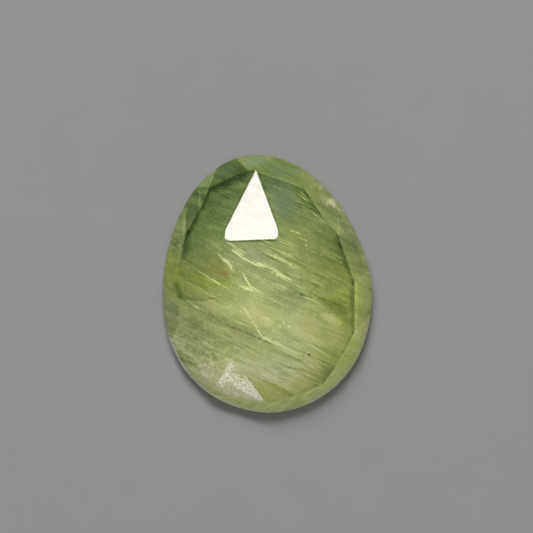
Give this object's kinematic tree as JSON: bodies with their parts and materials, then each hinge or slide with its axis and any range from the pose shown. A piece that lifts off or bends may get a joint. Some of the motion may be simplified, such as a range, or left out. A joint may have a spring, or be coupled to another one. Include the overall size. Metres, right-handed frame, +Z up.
{
  "type": "rose cut kyanite",
  "caption": "Loose egg-shaped green stone with a low crown of flat facets, a thin upright girdle and a flat polished base.",
  "frame": {"origin": "middle of the bounding box on the flat base, which rests on z = 0", "axes": "+Y towards the narrow end of the egg, +X across its width, +Z up out of the crown"},
  "size_m": [0.0146, 0.018, 0.0046],
  "materials": {
    "kyanite": "polished, translucent, with fibrous cleavage streaks, milky zones and one iron-brown stain inside"
  },
  "bodies": {
    "root": {"rose_cut_stone": "kyanite"}
  },
  "joints": []
}
